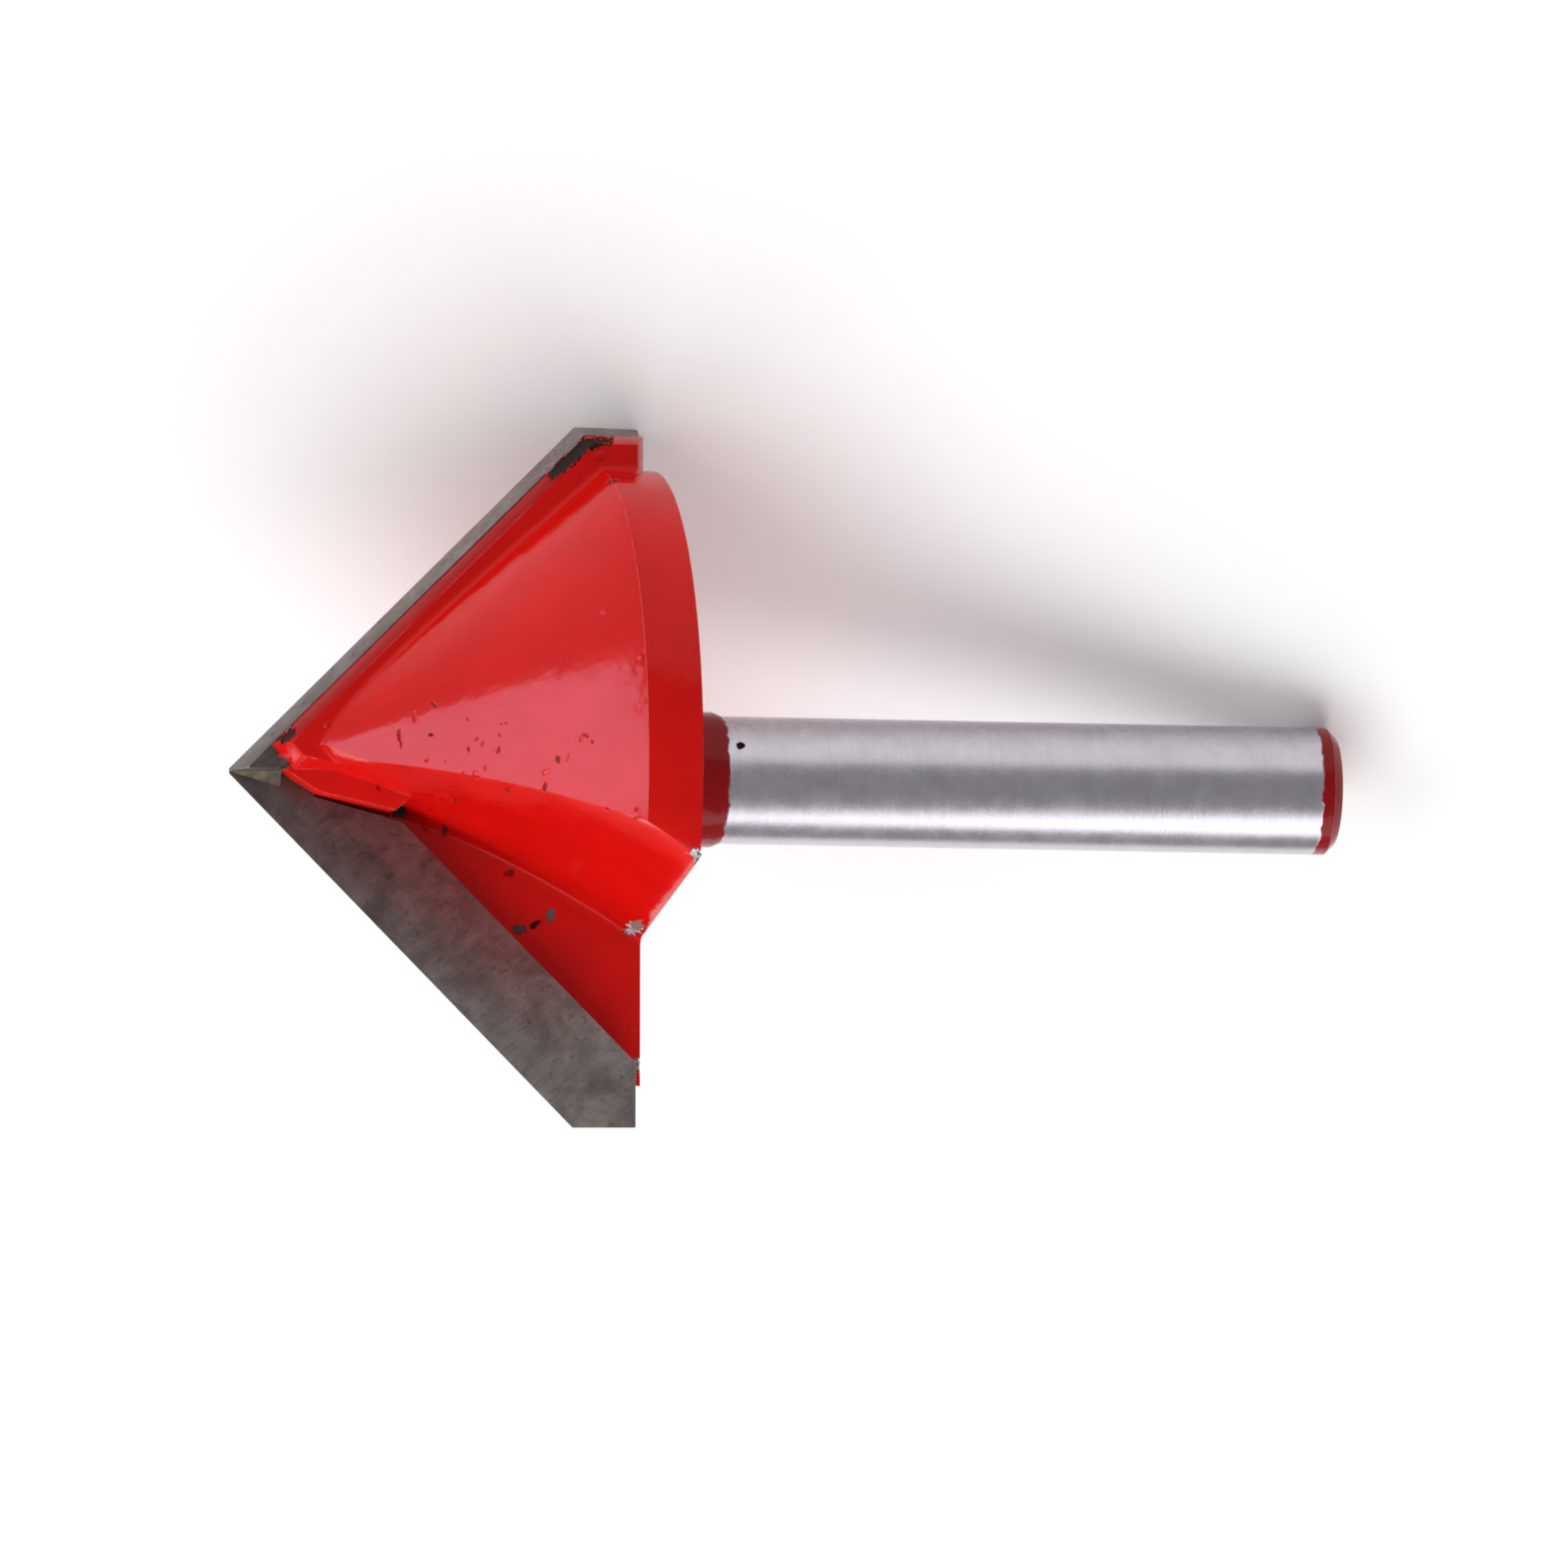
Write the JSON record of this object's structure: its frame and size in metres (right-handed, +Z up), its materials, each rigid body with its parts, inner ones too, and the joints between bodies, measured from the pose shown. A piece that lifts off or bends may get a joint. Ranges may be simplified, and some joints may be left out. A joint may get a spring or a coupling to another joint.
{
  "type": "v groove router bit",
  "caption": "Carbide-tipped 90 degree V groove router bit with a plain round shank for a collet, lying on its side.",
  "frame": {"origin": "middle of the lying bit's footprint, on the surface that it rests on", "axes": "+Z up; +X from the cutting point towards the shank end, level; the tool axis dips towards the shank end"},
  "size_m": [0.0544, 0.0308, 0.027],
  "materials": {
    "painted_steel": "glossy red enamel over steel on the head, bare ground steel on the shank",
    "carbide": "ground cemented tungsten carbide, dark grey with fine grinding marks",
    "braze": "dull khaki brazing alloy"
  },
  "bodies": {
    "root": {"bit_body": "painted_steel", "carbide_tip_1": "carbide", "carbide_tip_2": "carbide", "braze_layer_1": "braze", "braze_layer_2": "braze"}
  },
  "joints": []
}
